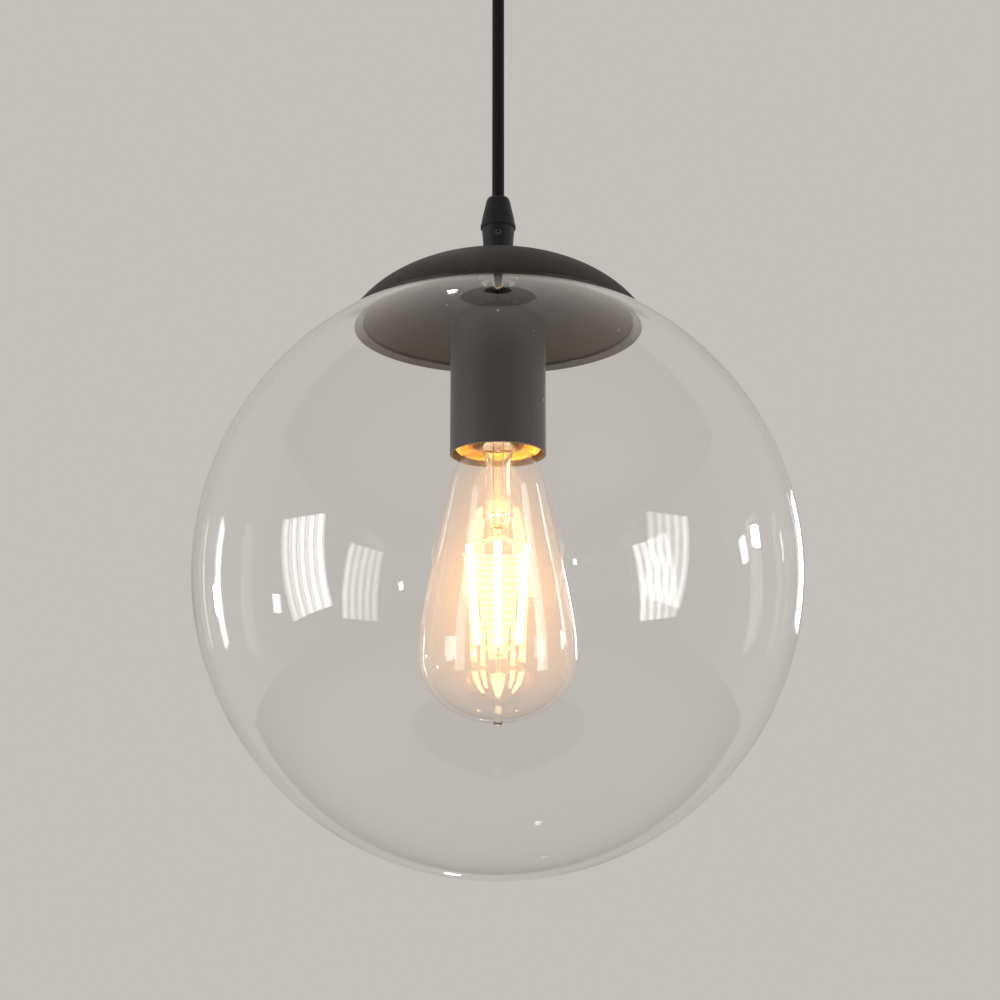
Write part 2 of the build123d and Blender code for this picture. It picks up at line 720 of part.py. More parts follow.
def canopy_feed_wire(start_x, middle_x, pole):
    """Core that leaves the sheath, loops forward and enters one pole of the terminal block."""
    return ended_wire([
        (start_x, 0, TAIL_TOP),
        (middle_x, -9.0, TAIL_TOP - 0.2),
        (pole, -17.0, -11.0),
        (pole, -BLOCK_HALF_Y - 4.0, TUNNEL_Z),
    ], (0, 0, 1), (0, 1, 0), (pole, -2.0, TUNNEL_Z))


RING_T = 0.8
BARREL_Z = -STRAP_T - 1.7


def earth_ring_terminal():
    x, y = EARTH_SCREW
    ring = Pos(x, y, 0) * tube(4.2, SCREW_R + SLIP, -STRAP_T - RING_T, -STRAP_T)
    barrel = rod((x, y - 9.5, BARREL_Z), (x, y - 3.6, BARREL_Z), 1.7)
    cut = rod((x, y - 10, BARREL_Z), (x, y - 5.0, BARREL_Z), WIRE_R + 0.05)
    above = block((x - 3, y - 10, -STRAP_T), (x + 3, y, 1))
    clear_screw = Pos(x, y, 0) * tube(3.5, 0, -8, -STRAP_T - RING_T)
    return ring + (barrel - cut - above - clear_screw)


def earth_screw():
    one = screw(3.4, 2.0, SCREW_R, STRAP_T + RING_T - 0.2)
    return Pos(*EARTH_SCREW, -STRAP_T - RING_T) * Rot(180, 0, 0) * one


def canopy_earth_wire():
    x, y = EARTH_SCREW
    return ended_wire([
        (1.75, 0, TAIL_TOP),
        (8.0, -9.0, TAIL_TOP - 0.2),
        (x, -19.0, -9.0),
        (x, y - 13.5, BARREL_Z),
    ], (0, 0, 1), (0, 1, 0), (x, y - 6.0, BARREL_Z))


def hanging_cord():
    return tube(CORD_R, 0, CORD_END, DROP + PIVOT_Z - CORD_R)


FIXED = {
    "ceiling_bracket": ceiling_bracket,
    "canopy_cup": canopy_cup,
    "canopy_side_screws": canopy_side_screws,
    "terminal_block": terminal_block,
    "terminal_block_screws": terminal_block_screws,
    "earth_ring_terminal": earth_ring_terminal,
    "earth_screw": earth_screw,
    "cord_grip_body": cord_grip_body,
    "cord_grip_locknut": cord_grip_locknut,
    "cord_grip_clamp_screw": cord_grip_clamp_screw,
    "cable_tail": cable_tail,
    "canopy_live_wire": lambda: canopy_feed_wire(-1.75, -10.0, POLES[0]),
    "canopy_neutral_wire": lambda: canopy_feed_wire(0.0, -4.5, POLES[1]),
    "canopy_earth_wire": canopy_earth_wire,
    "cord_bend": cord_bend,
}

HANGING = {
    "hanging_cord": hanging_cord,
    "gland_nut": gland_nut,
    "gland_seal": gland_seal,
    "gland_body": gland_body,
    "gland_grub_screw": gland_grub_screw,
    "threaded_nipple": threaded_nipple,
    "cap_washer": cap_washer,
    "cap_locknut": cap_locknut,
    "dome_cap": dome_cap,
    "cap_gasket": cap_gasket,
    "glass_globe": glass_globe,
    "glass_spring_hub": glass_spring_hub,
    "glass_spring_arms": glass_spring_arms,
    "glass_spring_sleeves": glass_spring_sleeves,
    "cup_locknut": lambda: nipple_nut(CUP_TOP + HUB_H),
    "socket_cup": socket_cup,
    "lampholder_cap": lampholder_cap,
    "lampholder_earth_tag": earth_tag,
    "lampholder_locknut": nipple_locknut,
    "lampholder_body": lampholder_body,
    "lampholder_screw_shell": lampholder_screw_shell,
    "lampholder_centre_contact": lampholder_centre_contact,
    "lampholder_shell_contact": lampholder_shell_contact,
    "lampholder_terminal_screws": lampholder_terminal_screws,
    "holder_live_wire": holder_live_wire,
    "holder_neutral_wire": holder_neutral_wire,
    "holder_earth_wire": holder_earth_wire,
    "bulb_contact_button": bulb_contact_button,
    "bulb_screw_cap": bulb_screw_cap,
    "bulb_insulator": bulb_insulator,
    "bulb_driver_board": bulb_driver_board,
    "bulb_glass": bulb_glass,
    "bulb_stem": bulb_stem,
    "bulb_filaments": bulb_filaments,
    "bulb_filament_supports": bulb_filament_supports,
    "bulb_lead_wires": bulb_lead_wires,
}


def write(name, made, place):
    """Write one piece, or a group of separate solids, to its own STEP file."""
    pieces = made if isinstance(made, list) else [made]
    solids = [place * solid for piece in pieces for solid in piece.solids()]
    shape = solids[0] if len(solids) == 1 else Compound(children=solids)
    export_step(shape, f"parts/{name}.step")
    print(f"{name}: {len(solids)} solid(s), {sum(s.volume for s in solids):.1f} mm3")


os.makedirs("parts", exist_ok=True)
for node, make in FIXED.items():
    write(node, make(), Pos(0, 0, 0))
for node, make in HANGING.items():
    write(node, make(), Pos(0, 0, -DROP))
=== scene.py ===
# %% [markdown]
# # A pendant light with a clear glass globe
# A real light like this is a stack of turned metal pieces threaded onto one hollow tube, with a
# blown globe squeezed between a domed cap and a hidden spring. This lesson starts from the
# engineer's solids, keeps those whose shape is already right, and remakes the ones that the
# eye rests on: the two blown glass shells, the glowing strips, and the cord.

# %% Load the solids and remember their box
import json
import math

import bmesh
import bpy
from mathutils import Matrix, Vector


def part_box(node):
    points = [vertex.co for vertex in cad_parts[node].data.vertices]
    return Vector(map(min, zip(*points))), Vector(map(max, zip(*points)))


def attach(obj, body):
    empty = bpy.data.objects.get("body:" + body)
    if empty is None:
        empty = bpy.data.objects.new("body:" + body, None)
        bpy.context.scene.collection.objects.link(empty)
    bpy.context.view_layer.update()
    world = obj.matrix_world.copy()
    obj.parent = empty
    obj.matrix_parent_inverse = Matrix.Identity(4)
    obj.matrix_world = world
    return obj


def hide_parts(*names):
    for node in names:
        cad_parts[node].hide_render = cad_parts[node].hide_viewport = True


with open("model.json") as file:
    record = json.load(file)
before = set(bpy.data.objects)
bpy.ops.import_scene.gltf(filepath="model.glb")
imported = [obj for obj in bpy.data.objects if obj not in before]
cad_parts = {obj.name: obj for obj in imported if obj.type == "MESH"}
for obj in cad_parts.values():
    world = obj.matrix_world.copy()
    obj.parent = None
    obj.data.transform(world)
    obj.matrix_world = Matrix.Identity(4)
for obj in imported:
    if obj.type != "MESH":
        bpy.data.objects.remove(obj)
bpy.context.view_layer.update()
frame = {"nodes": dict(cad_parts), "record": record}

MM = 0.001

# %% Read the sizes that the remade pieces share with the solids
globe_low, globe_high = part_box("glass_globe")
GLOBE_R = (globe_high.x - globe_low.x) / 2
GLOBE_Z = globe_low.z + GLOBE_R
GLASS_WALL = 2.5 * MM   # a box doesn't show the wall or the mouth, so the solid's values are repeated
MOUTH_R = 59.5 * MM
cord_low, cord_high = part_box("hanging_cord")
CORD_R = (cord_high.x - cord_low.x) / 2
GLAND_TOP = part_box("gland_nut")[1].z
PIVOT_Z = sum(corner.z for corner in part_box("cord_bend")) / 2
print("globe radius", round(GLOBE_R, 4), "cord radius", round(CORD_R, 5), "pivot", round(PIVOT_Z, 4))

# %% [markdown]
# ## Shared shader effects
# Paint, plastic and plated steel all have the same three small faults: the colour drifts, the
# gloss drifts, and the surface is never flat. Each of those is a node group with named inputs,
# so one fault is drawn once and every finish uses it at its own scale. The groups only give out
# numbers; the shader itself stays in each material.

# %% A helper that makes a node group with named sockets
KINDS = {"value": "NodeSocketFloat", "vector": "NodeSocketVector", "colour": "NodeSocketColor"}


def new_group(name, inputs, outputs):
    """Empty shader group; inputs are (name, kind, default) and outputs (name, kind)."""
    group = bpy.data.node_groups.new(name, "ShaderNodeTree")
    for label, kind, default in inputs:
        socket = group.interface.new_socket(label, in_out="INPUT", socket_type=KINDS[kind])
        socket.default_value = default
    for label, kind in outputs:
        group.interface.new_socket(label, in_out="OUTPUT", socket_type=KINDS[kind])
    return group, group.nodes.new("NodeGroupInput"), group.nodes.new("NodeGroupOutput")


def noise(tree, vector, scale, detail=4.0, roughness=0.55):
    """Noise node fed by a vector socket; scale is a number or a socket."""
    node = tree.nodes.new("ShaderNodeTexNoise")
    tree.links.new(vector, node.inputs["Vector"])
    node.inputs["Detail"].default_value = detail
    node.inputs["Roughness"].default_value = roughness
    if isinstance(scale, (int, float)):
        node.inputs["Scale"].default_value = scale
    else:
        tree.links.new(scale, node.inputs["Scale"])
    return node.outputs["Fac"]


def maths(tree, kind, first, second):
    """Math node; either input is a number or a socket."""
    node = tree.nodes.new("ShaderNodeMath")
    node.operation = kind
    for socket, value in zip(node.inputs, (first, second)):
        if isinstance(value, (int, float)):
            socket.default_value = value
        else:
            tree.links.new(value, socket)
    return node.outputs[0]


def remap(tree, value, low, high, new_low, new_high):
    """Stretch part of a mask to a new range."""
    node = tree.nodes.new("ShaderNodeMapRange")
    tree.links.new(value, node.inputs["Value"])
    for label, number in zip(("From Min", "From Max", "To Min", "To Max"), (low, high, new_low, new_high)):
        node.inputs[label].default_value = number
    return node.outputs["Result"]


# %% Group: the skin of a coating
def build_coating_skin():
    """Orange peel, cloudy gloss and rare specks, all from Object coordinates."""
    group, given, out = new_group(
        "coating_skin",
        [("Vector", "vector", (0, 0, 0)), ("Peel Scale", "value", 900.0), ("Cloud Scale", "value", 25.0),
         ("Speck Scale", "value", 260.0)],
        [("Height", "value"), ("Cloud", "value"), ("Specks", "value")])
    peel = noise(group, given.outputs["Vector"], given.outputs["Peel Scale"], 2.0)
    cloud = noise(group, given.outputs["Vector"], given.outputs["Cloud Scale"], 5.0)
    cells = group.nodes.new("ShaderNodeTexVoronoi")
    group.links.new(given.outputs["Vector"], cells.inputs["Vector"])
    group.links.new(given.outputs["Speck Scale"], cells.inputs["Scale"])
    lottery = group.nodes.new("ShaderNodeSeparateColor")
    group.links.new(cells.outputs["Color"], lottery.inputs["Color"])
    chosen = remap(group, lottery.outputs["Red"], 0.965, 0.975, 0.0, 1.0)
    dot = remap(group, cells.outputs["Distance"], 0.16, 0.10, 0.0, 1.0)
    specks = maths(group, "MULTIPLY", chosen, dot)
    height = maths(group, "ADD", peel, maths(group, "MULTIPLY", specks, 0.6))
    group.links.new(height, out.inputs["Height"])
    group.links.new(cloud, out.inputs["Cloud"])
    group.links.new(specks, out.inputs["Specks"])
    return group


COATING_SKIN = build_coating_skin()


# %% Group: fine lines left by turning or drawing
def build_tool_lines():
    """Noise stretched flat, so that it runs as rings round the Z axis."""
    group, given, out = new_group(
        "tool_lines",
        [("Vector", "vector", (0, 0, 0)), ("Along", "value", 60.0), ("Across", "value", 2500.0)],
        [("Lines", "value")])
    split = group.nodes.new("ShaderNodeSeparateXYZ")
    group.links.new(given.outputs["Vector"], split.inputs["Vector"])
    join = group.nodes.new("ShaderNodeCombineXYZ")
    for axis, size in (("X", "Along"), ("Y", "Along"), ("Z", "Across")):
        group.links.new(maths(group, "MULTIPLY", split.outputs[axis], given.outputs[size]), join.inputs[axis])
    group.links.new(noise(group, join.outputs["Vector"], 1.0, 3.0), out.inputs["Lines"])
    return group


TOOL_LINES = build_tool_lines()
print("groups:", [group.name for group in bpy.data.node_groups])


# %% [markdown]
# ## Solid finishes
# Every opaque finish is one Principled shader whose colour, roughness and bump drift a little.
# The function below wires that once; each call afterwards gives one real finish its own
# numbers. Powder coat has the coarsest peel, moulded plastic a fine one, plated steel shows
# the lathe.

# %% Make one opaque finish
def add_group(tree, group, **sizes):
    """Group node with some of its inputs set; an underscore stands for a space in a name."""
    node = tree.nodes.new("ShaderNodeGroup")
    node.node_tree = group
    for label, value in sizes.items():
        node.inputs[label.replace("_", " ")].default_value = value
    return node


def finish(name, colour, other, rough, metallic=0.0, peel=900.0, bump=0.02, cloud=25.0, lines=0.0,
           specks=0.0, speck_colour=(0.7, 0.68, 0.65), coat=0.0, shine=0.5):
    """Opaque material. Its colour drifts towards other, rough is (low, high) and lines is the
    share of the bump that tool marks take."""
    material = bpy.data.materials.new(name)
    material.use_nodes = True
    tree = material.node_tree
    shader = tree.nodes["Principled BSDF"]
    place = tree.nodes.new("ShaderNodeTexCoord").outputs["Object"]
    skin = add_group(tree, COATING_SKIN, Peel_Scale=peel, Cloud_Scale=cloud)
    tree.links.new(place, skin.inputs["Vector"])
    drift = tree.nodes.new("ShaderNodeMix")
    drift.data_type = "RGBA"
    drift.inputs["A"].default_value = (*colour, 1)
    drift.inputs["B"].default_value = (*other, 1)
    tree.links.new(remap(tree, skin.outputs["Cloud"], 0.35, 0.65, 0.0, 1.0), drift.inputs["Factor"])
    colour_out = drift.outputs["Result"]
    if specks:
        dirt = tree.nodes.new("ShaderNodeMix")
        dirt.data_type = "RGBA"
        tree.links.new(maths(tree, "MULTIPLY", skin.outputs["Specks"], specks), dirt.inputs["Factor"])
        tree.links.new(colour_out, dirt.inputs["A"])
        dirt.inputs["B"].default_value = (*speck_colour, 1)
        colour_out = dirt.outputs["Result"]
    tree.links.new(colour_out, shader.inputs["Base Color"])
    height = skin.outputs["Height"]
    gloss = skin.outputs["Cloud"]
    if lines:
        turned = add_group(tree, TOOL_LINES)
        tree.links.new(place, turned.inputs["Vector"])
        height = maths(tree, "ADD", height, maths(tree, "MULTIPLY", turned.outputs["Lines"], lines))
        gloss = maths(tree, "MULTIPLY", gloss, turned.outputs["Lines"])
        tree.links.new(remap(tree, gloss, 0.15, 0.4, *rough), shader.inputs["Roughness"])
    else:
        tree.links.new(remap(tree, gloss, 0.35, 0.65, *rough), shader.inputs["Roughness"])
    shader.inputs["Metallic"].default_value = metallic
    shader.inputs["Coat Weight"].default_value = coat
    shader.inputs["Specular IOR Level"].default_value = shine
    relief = tree.nodes.new("ShaderNodeBump")
    relief.inputs["Distance"].default_value = bump * MM
    relief.inputs["Strength"].default_value = 0.6
    tree.links.new(height, relief.inputs["Height"])
    tree.links.new(relief.outputs["Normal"], shader.inputs["Normal"])
    return material


# %% The finishes of this light
FINISHES = {
    "canopy_black": finish("canopy_powder_coat", (0.018, 0.017, 0.017), (0.024, 0.022, 0.022), (0.42, 0.55),
                           peel=1100, bump=0.05, specks=0.3),
    "cap_grey": finish("cap_powder_coat", (0.0215, 0.018, 0.0175), (0.027, 0.0235, 0.022), (0.5, 0.62),
                       peel=1100, bump=0.05, specks=0.5, shine=0.35),
    "cup_grey": finish("cup_powder_coat", (0.026, 0.0215, 0.0185), (0.033, 0.027, 0.0235), (0.42, 0.54),
                       peel=1100, bump=0.05, specks=0.8, shine=0.4),
    "black_plastic": finish("moulded_black_plastic", (0.008, 0.008, 0.0095), (0.012, 0.012, 0.0135),
                            (0.4, 0.55), peel=1800, bump=0.02, specks=0.3, shine=0.4),
    "cord_black": finish("cord_sheath", (0.004, 0.004, 0.0055), (0.007, 0.0065, 0.0085), (0.5, 0.62),
                         peel=1500, bump=0.03, specks=0.25, shine=0.25),
    "silicone": finish("grey_silicone", (0.30, 0.29, 0.28), (0.36, 0.35, 0.34), (0.5, 0.62),
                       peel=1400, bump=0.02),
    "dark_silicone": finish("black_silicone", (0.02, 0.019, 0.018), (0.03, 0.028, 0.027), (0.5, 0.62),
                            peel=1400),
    # The porcelain's deep amber is painted light: it is the bulb's warm glow on the holder inside the cup.
    "porcelain": finish("porcelain_with_painted_warm_light", (0.78, 0.41, 0.06), (0.84, 0.49, 0.10), (0.16, 0.28),
                        peel=500, bump=0.03, coat=0.4),
    "white_plastic": finish("white_heatproof_plastic", (0.70, 0.69, 0.65), (0.78, 0.77, 0.73), (0.4, 0.52),
                            peel=1800, bump=0.02, specks=0.3, speck_colour=(0.2, 0.18, 0.16)),
    "steel_zinc": finish("zinc_plated_steel", (0.52, 0.53, 0.54), (0.64, 0.63, 0.60), (0.26, 0.42), 1.0,
                         peel=700, bump=0.01, lines=0.5),
    "spring_steel": finish("blackened_spring_steel", (0.10, 0.10, 0.105), (0.15, 0.145, 0.14),
                           (0.32, 0.46), 1.0, peel=900, bump=0.01),
    "brass": finish("drawn_brass", (0.72, 0.50, 0.20), (0.80, 0.60, 0.28), (0.2, 0.36), 1.0, peel=800,
                    bump=0.01, lines=0.6),
    "nickel_cap": finish("nickel_plated_cap", (0.66, 0.62, 0.55), (0.74, 0.70, 0.62), (0.16, 0.3), 1.0,
                         peel=800, bump=0.008, lines=0.4),
    "insulator": finish("black_vitreous_insulator", (0.012, 0.012, 0.013), (0.03, 0.028, 0.028),
                        (0.1, 0.22), peel=400, bump=0.05),
    "solder": finish("tinned_contact", (0.55, 0.55, 0.54), (0.66, 0.66, 0.66), (0.3, 0.45), 1.0,
                     peel=500, bump=0.05),
    "board": finish("circuit_board", (0.03, 0.12, 0.05), (0.05, 0.18, 0.07), (0.3, 0.42),
                    peel=1200, bump=0.02),
    "wire_brown": finish("brown_wire_sleeve", (0.13, 0.045, 0.02), (0.17, 0.06, 0.03), (0.35, 0.48),
                         peel=1500),
    "wire_blue": finish("blue_wire_sleeve", (0.02, 0.09, 0.32), (0.03, 0.12, 0.38), (0.35, 0.48),
                        peel=1500),
    "wire_green": finish("green_wire_sleeve", (0.12, 0.33, 0.03), (0.55, 0.55, 0.05), (0.35, 0.48),
                         cloud=120, peel=1500),
}
slot_of = {row["node"]: row["material_slot"] for row in frame["record"]["subparts"]}
dressed = 0
for node, solid in frame["nodes"].items():
    if slot_of[node] in FINISHES:
        solid.data.materials.clear()
        solid.data.materials.append(FINISHES[slot_of[node]])
        dressed += 1
print("finishes:", len(FINISHES), "solids dressed:", dressed)


# %% [markdown]
# ## Clear glass
# Blown glass is a closed shell: light bends on the way in and again on the way out of the wall,
# so the wall must be modelled with both of its sides. A plain surface with transparency would
# lose the bright and dark lines at the rim. Two small liberties keep it fast: shadow rays pass
# straight through, and the smoke colour lives in the wall as absorption, so that it shows only
# where the wall is seen edge-on. The glass of the bulb and its stem also carries a faint painted
# glow near the strips, which stands in for their halo.

# %% Make a clear glass
def paint_glow_into_glass(tree, place, shader, colour, strength, middle, reach):
    """Painted glow in the glass, strongest at one height and where the wall squarely faces the eye."""
    split = tree.nodes.new("ShaderNodeSeparateXYZ")
    tree.links.new(place, split.inputs["Vector"])
    offset = maths(tree, "ABSOLUTE", maths(tree, "SUBTRACT", split.outputs["Z"], middle), 0.0)
    level = remap(tree, offset, 0.0, reach, 1.0, 0.0)
    facing = tree.nodes.new("ShaderNodeLayerWeight").outputs["Facing"]
    straight = maths(tree, "POWER", remap(tree, facing, 0.0, 1.0, 1.0, 0.0), 2.0)
    lit = tree.nodes.new("ShaderNodeMix")
    lit.data_type = "RGBA"
    lit.inputs["A"].default_value = (0, 0, 0, 1)
    lit.inputs["B"].default_value = (*colour, 1)
    tree.links.new(maths(tree, "MULTIPLY", level, straight), lit.inputs["Factor"])
    tree.links.new(lit.outputs["Result"], shader.inputs["Emission Color"])
    shader.inputs["Emission Strength"].default_value = strength


def clear_glass(name, tint, shadow, smoke, density, wave_scale, wave_depth, rough, glow=None):
    """Glass with a slightly wavy, faintly filmed skin. wave_depth is in millimetres; glow is
    (colour, strength, middle height, reach), a painted glow in the glass that stands in for the halo of the
    strips."""
    material = bpy.data.materials.new(name)
    material.use_nodes = True
    tree = material.node_tree
    shader = tree.nodes["Principled BSDF"]
    shader.inputs["Base Color"].default_value = (*tint, 1)
    shader.inputs["Transmission Weight"].default_value = 1.0
    shader.inputs["IOR"].default_value = 1.5
    place = tree.nodes.new("ShaderNodeTexCoord").outputs["Object"]
    film = noise(tree, place, 22.0, 4.0)
    tree.links.new(remap(tree, film, 0.45, 0.75, 0.0, rough), shader.inputs["Roughness"])
    relief = tree.nodes.new("ShaderNodeBump")
    relief.inputs["Distance"].default_value = wave_depth * MM
    relief.inputs["Strength"].default_value = 1.0
    tree.links.new(noise(tree, place, wave_scale, 1.0), relief.inputs["Height"])
    tree.links.new(relief.outputs["Normal"], shader.inputs["Normal"])
    # Painted glow: this emission in the glass stands in for the halo of the strips.
    if glow:
        paint_glow_into_glass(tree, place, shader, *glow)
    through = tree.nodes.new("ShaderNodeBsdfTransparent")
    through.inputs["Color"].default_value = (*shadow, 1)
    path = tree.nodes.new("ShaderNodeLightPath")
    choose = tree.nodes.new("ShaderNodeMixShader")
    tree.links.new(path.outputs["Is Shadow Ray"], choose.inputs["Fac"])
    tree.links.new(shader.outputs["BSDF"], choose.inputs[1])
    tree.links.new(through.outputs["BSDF"], choose.inputs[2])
    output = tree.nodes["Material Output"]
    tree.links.new(choose.outputs["Shader"], output.inputs["Surface"])
    if density:
        haze = tree.nodes.new("ShaderNodeVolumeAbsorption")
        haze.inputs["Color"].default_value = (*smoke, 1)
        haze.inputs["Density"].default_value = density
        tree.links.new(haze.outputs["Volume"], output.inputs["Volume"])
    return material


GLOBE_GLASS = clear_glass(
    "blown_globe_glass", tint=(0.998, 0.995, 0.992), shadow=(0.97, 0.965, 0.96),
    smoke=(0.45, 0.40, 0.36), density=5.0, wave_scale=14.0, wave_depth=0.12, rough=0.02)
# The bulb glass and the stem glass carry a painted warm glow near the strips.
BULB_GLASS = clear_glass(
    "thin_bulb_glass", tint=(0.998, 0.992, 0.98), shadow=(0.98, 0.975, 0.96),
    smoke=(0.5, 0.4, 0.3), density=6.0, wave_scale=40.0, wave_depth=0.04, rough=0.015,
    glow=((1.0, 0.44, 0.09), 0.23, GLOBE_Z - 5 * MM, 65 * MM))
STEM_GLASS = clear_glass(
    "stem_glass", tint=(0.995, 0.985, 0.965), shadow=(0.97, 0.95, 0.92),
    smoke=(0.6, 0.45, 0.3), density=5.0, wave_scale=90.0, wave_depth=0.08, rough=0.05,
    glow=((1.0, 0.5, 0.14), 0.28, GLOBE_Z, 80 * MM))


# %% [markdown]
# ## Turned shells
# A lathe turns a flat outline about an axis. The outline runs from the pole up the outside,
# round the lip and back down the inside to the other pole, so the shell comes out closed and
# watertight with its faces pointing away from the glass.

# %% A lathe
def lathe(name, outline, steps=192, closed=False):
    """Turn (radius, height) points about Z. A closed outline joins its last point to its first."""
    shape = bmesh.new()
    rings = []
    for radius, height in outline:
        if radius < 1e-7:
            rings.append([shape.verts.new((0, 0, height))])
            continue
        turns = [2 * math.pi * step / steps for step in range(steps)]
        rings.append([shape.verts.new((radius * math.cos(a), radius * math.sin(a), height)) for a in turns])
    pairs = list(zip(rings, rings[1:]))
    if closed:
        pairs.append((rings[-1], rings[0]))
    for here, there in pairs:
        for step in range(steps):
            after = (step + 1) % steps
            if len(here) == 1:
                corners = [here[0], there[after], there[step]]
            elif len(there) == 1:
                corners = [here[step], here[after], there[0]]
            else:
                corners = [here[step], here[after], there[after], there[step]]
            shape.faces.new(corners)
    bmesh.ops.recalc_face_normals(shape, faces=shape.faces)
    mesh = bpy.data.meshes.new(name)
    shape.to_mesh(mesh)
    shape.free()
    for face in mesh.polygons:
        face.use_smooth = True
    piece = bpy.data.objects.new(name, mesh)
    bpy.context.collection.objects.link(piece)
    return piece


def finish_piece(piece, material, body, slot, *nodes):
    """Give a piece its material and its body, and hide the solids that it stands for; slot is not used."""
    if material is not None:
        piece.data.materials.clear()
        piece.data.materials.append(material)
    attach(piece, body)
    if nodes:
        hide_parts(*nodes)
    print(piece.name, "on", body, len(piece.data.polygons) if piece.type == "MESH" else "curve")


# %% The globe
def arc(radius, start, end, steps):
    """Points on a circle about the globe's centre; angles are from straight down, in degrees."""
    angles = [math.radians(start + (end - start) * i / steps) for i in range(steps + 1)]
    return [(radius * math.sin(a), GLOBE_Z - radius * math.cos(a)) for a in angles]


def rounded_lip(angle, wall, steps=8):
    """Half-round edge that joins the outside of the glass to its inside at an angle."""
    turn = math.radians(angle)
    out = Vector((math.sin(turn), -math.cos(turn)))
    along = Vector((math.cos(turn), math.sin(turn)))
    middle = Vector((0, GLOBE_Z)) + out * (GLOBE_R - wall / 2)
    bends = [math.pi * i / steps for i in range(1, steps)]
    return [tuple(middle + (out * math.cos(bend) + along * math.sin(bend)) * wall / 2) for bend in bends]


mouth_angle = 180.0 - math.degrees(math.asin(MOUTH_R / GLOBE_R))
lip = rounded_lip(mouth_angle, GLASS_WALL)
GLOBE_STEPS = 150
outside = arc(GLOBE_R, 0.0, mouth_angle, GLOBE_STEPS)
inside = arc(GLOBE_R - GLASS_WALL, mouth_angle, 0.0, GLOBE_STEPS)
outside[0] = (0.0, outside[0][1])
inside[-1] = (0.0, inside[-1][1])
globe = lathe("globe_glass_shell", outside + lip + inside, 256)
finish_piece(globe, GLOBE_GLASS, "hanging_lamp", "clear_glass", "glass_globe")

# %% [markdown]
# ## The bulb
# The envelope is the same kind of shell, drawn from a few measured widths joined by a smooth
# curve, thin, and drawn to a sealed tip. Its stem is a second glass tube that flares out to
# close the neck.

# %% A smooth curve through a few (radius, height) points
def smooth(points, per_span=10):
    """Catmull-Rom curve through the points."""
    padded = [points[0]] + list(points) + [points[-1]]
    curve = []
    for i in range(len(points) - 1):
        a, b, c, d = (Vector(p) for p in padded[i:i + 4])
        for step in range(per_span):
            t = step / per_span
            spot = 0.5 * (2 * b + (c - a) * t + (2 * a - 5 * b + 4 * c - d) * t ** 2
                          + (3 * b - a - 3 * c + d) * t ** 3)
            curve.append((max(spot.x, 0.0), spot.y))
    curve.append(tuple(points[-1]))
    return curve


def inset(points, amount):
    """Move an outline towards the axis side by a wall's thickness."""
    moved = []
    for i, (r, z) in enumerate(points):
        before, after = points[max(i - 1, 0)], points[min(i + 1, len(points) - 1)]
        run = Vector((after[0] - before[0], after[1] - before[1])).normalized()
        moved.append((max(r + run.y * amount, 0.0), z - run.x * amount))
    return moved


# %% The envelope
SIDE_MM = [(11.4, 56.5), (12.2, 54.0), (15.0, 50.0), (19.0, 41.0), (22.0, 27.5), (24.9, 14.0),
           (29.1, -5.0), (32.1, -23.0), (32.8, -35.0)]
TIP_MM = [(1.9, -62.3), (1.5, -63.2), (0.8, -63.9), (0.0, -64.05)]
WIDEST_MM, WIDEST_Z_MM = SIDE_MM[-1]
END_MM = -62.0
BULB_WALL_MM = 0.8
ROUND_STEP = 9.6        # degrees between the points of the rounded end
ROUND_POINTS = 9
SPAN_STEPS = 8


def placed(points_mm):
    """Points given in millimetres about the globe's centre, as metres in the light's frame."""
    return [(r * MM, GLOBE_Z + z * MM) for r, z in points_mm]


turns = [math.radians(ROUND_STEP * i) for i in range(1, ROUND_POINTS + 1)]
rounding = placed([(WIDEST_MM * math.cos(turn), WIDEST_Z_MM + (END_MM - WIDEST_Z_MM) * math.sin(turn))
                   for turn in turns])
side = placed(SIDE_MM)
outer = smooth(side + rounding + placed(TIP_MM), SPAN_STEPS)
outer[-1] = (0.0, outer[-1][1])
core = smooth(side + rounding + placed([(0.0, END_MM)]), SPAN_STEPS)
inner = [(r, z) for r, z in inset(core, BULB_WALL_MM * MM) if r > 0.1 * MM]
inner += placed([(0.0, END_MM + BULB_WALL_MM)])
envelope = lathe("bulb_envelope", list(reversed(outer)) + inner, 160)
finish_piece(envelope, BULB_GLASS, "bulb", "bulb_clear", "bulb_glass")
print("envelope widest", round(2 * max(r for r, z in outer) / MM, 1), "mm")

# %% The stem with its pinched end
STEM_MM = [(0.0, 18.0), (2.6, 18.1), (3.6, 19.0), (4.6, 21.5), (5.0, 25.0), (5.0, 36.0), (5.0, 46.0),
           (6.4, 51.0), (10.0, 56.3), (9.2, 56.3), (5.6, 51.4), (4.0, 46.0), (4.0, 36.0), (4.0, 26.0),
           (2.6, 24.0), (0.0, 23.4)]
stem = lathe("bulb_stem_tube", placed(STEM_MM), 96)
finish_piece(stem, STEM_GLASS, "bulb", "bulb_clear", "bulb_stem")


# %% [markdown]
# ## The glowing strips
# Each filament is a strip carrying a row of tiny chips under yellow phosphor. Six of them lean
# inwards on a ring, so a Geometry Nodes tree builds one strip from its two ends and turns
# copies of it about the axis. The same tree with other numbers makes the fine support wires.

